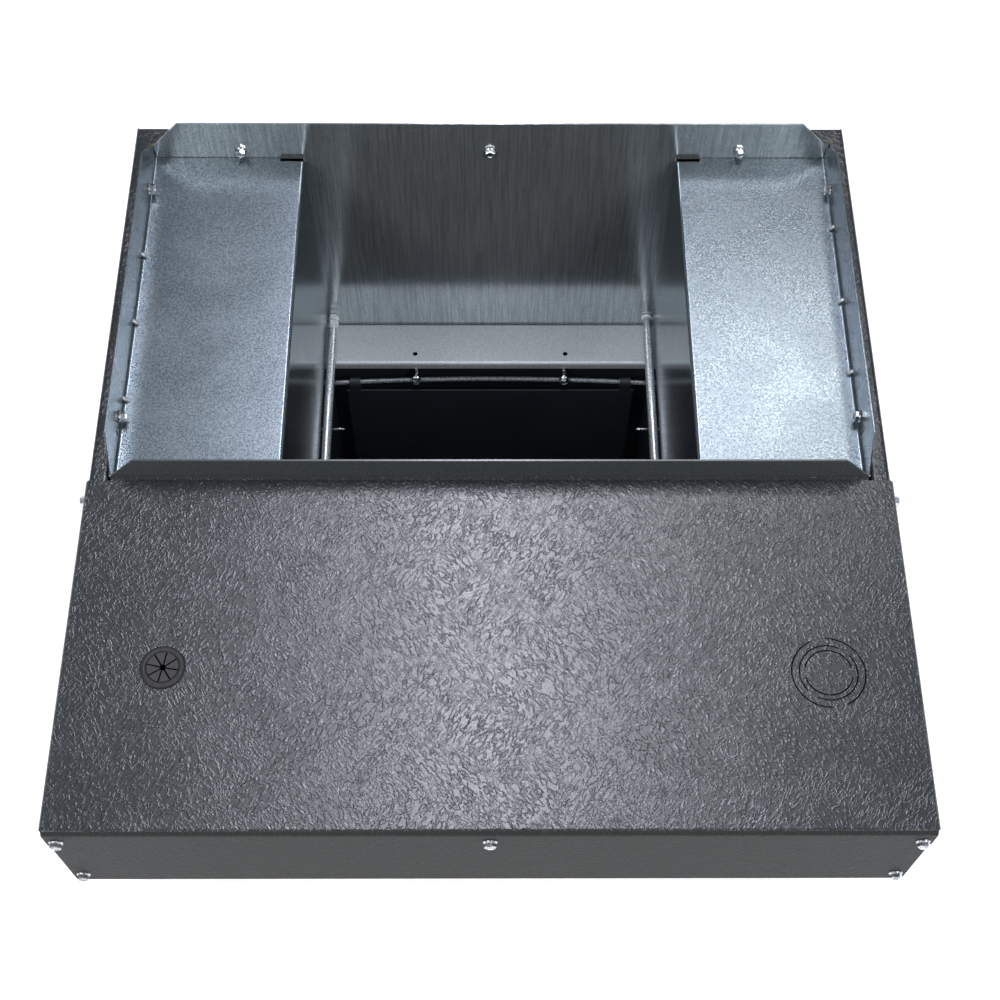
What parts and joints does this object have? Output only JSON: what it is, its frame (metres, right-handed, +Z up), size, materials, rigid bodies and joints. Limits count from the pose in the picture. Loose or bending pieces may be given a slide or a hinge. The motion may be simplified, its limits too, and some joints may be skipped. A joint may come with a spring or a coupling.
{
  "type": "parcel drop box",
  "caption": "Sheet-steel parcel drop box with a collared square throat in the top, an overhanging hood and a locked retrieval door in the recessed front.",
  "frame": {"origin": "middle of the underside of the base pan", "axes": "+Z up, the front and its door face -Y, +X to the right as seen from the front"},
  "size_m": [0.5164, 0.5222, 0.455],
  "materials": {
    "coated_steel": "charcoal embossed coating, satin",
    "galvanised_steel": "galvanised, fine orange-peel grain",
    "black_steel": "black coating, matt",
    "bright_zinc": "bright zinc plate",
    "rubber": "black moulded rubber",
    "moulded_plastic": "ivory moulded plastic"
  },
  "bodies": {
    "cabinet": {"side_panel_right": "coated_steel", "side_panel_left": "coated_steel", "back_panel": "coated_steel", "top_cover": "coated_steel", "front_panel": "coated_steel", "hood_floor": "galvanised_steel", "throat_front_wall": "galvanised_steel", "side_box_left": "galvanised_steel", "side_box_right": "galvanised_steel", "liner_back": "galvanised_steel", "ledge": "galvanised_steel", "lower_sleeve": "black_steel", "guide_rail_left": "bright_zinc", "guide_rail_right": "bright_zinc", "baffle_rod": "bright_zinc", "base_pan": "coated_steel", "door_frame": "galvanised_steel", "lower_hinge_frame_leaf": "bright_zinc", "lower_hinge_pin": "bright_zinc", "upper_hinge_frame_leaf": "bright_zinc", "upper_hinge_pin": "bright_zinc", "door_bumper_lower": "rubber", "door_bumper_upper": "rubber", "cable_grommet": "rubber", "terminal_block": "moulded_plastic", "door_switch": "moulded_plastic", "rear_collar_screw_left": "bright_zinc", "rear_collar_screw_middle": "bright_zinc", "rear_collar_screw_right": "bright_zinc", "collar_screw_left_front": "bright_zinc", "collar_screw_left_rear": "bright_zinc", "hood_screw_left": "bright_zinc", "fold_screw_left": "bright_zinc", "panel_screw_left": "bright_zinc", "sleeve_screw_left": "bright_zinc", "rod_bolt_left": "bright_zinc", "collar_screw_right_front": "bright_zinc", "collar_screw_right_rear": "bright_zinc", "hood_screw_right": "bright_zinc", "fold_screw_right": "bright_zinc", "panel_screw_right": "bright_zinc", "sleeve_screw_right": "bright_zinc", "rod_bolt_right": "bright_zinc", "fold_screw_middle": "bright_zinc", "ground_screw": "bright_zinc"},
    "door": {"retrieval_door": "coated_steel", "lower_hinge_door_leaf": "bright_zinc", "upper_hinge_door_leaf": "bright_zinc", "lock_body": "bright_zinc", "lock_nut": "bright_zinc", "door_pull": "bright_zinc", "switch_magnet": "moulded_plastic"},
    "lock_rotor": {"lock_plug": "bright_zinc", "lock_cam": "bright_zinc", "cam_screw": "bright_zinc"},
    "flap": {"throat_flap": "black_steel"}
  },
  "joints": [
    {"name": "door_swing", "type": "hinge", "parent": "cabinet", "child": "door", "pos_m": [-0.23375, -0.166, 0.1776], "axis": [0, 0, -1], "range_deg": [0, 110]},
    {"name": "lock_turn", "type": "hinge", "parent": "door", "child": "lock_rotor", "pos_m": [0.196, -0.163, 0.1776], "axis": [0, 1, 0], "range_deg": [0, 90]},
    {"name": "flap_swing", "type": "hinge", "parent": "cabinet", "child": "flap", "pos_m": [0, 0.19779, 0.192], "axis": [-1, 0, 0], "range_deg": [0, 80]}
  ]
}
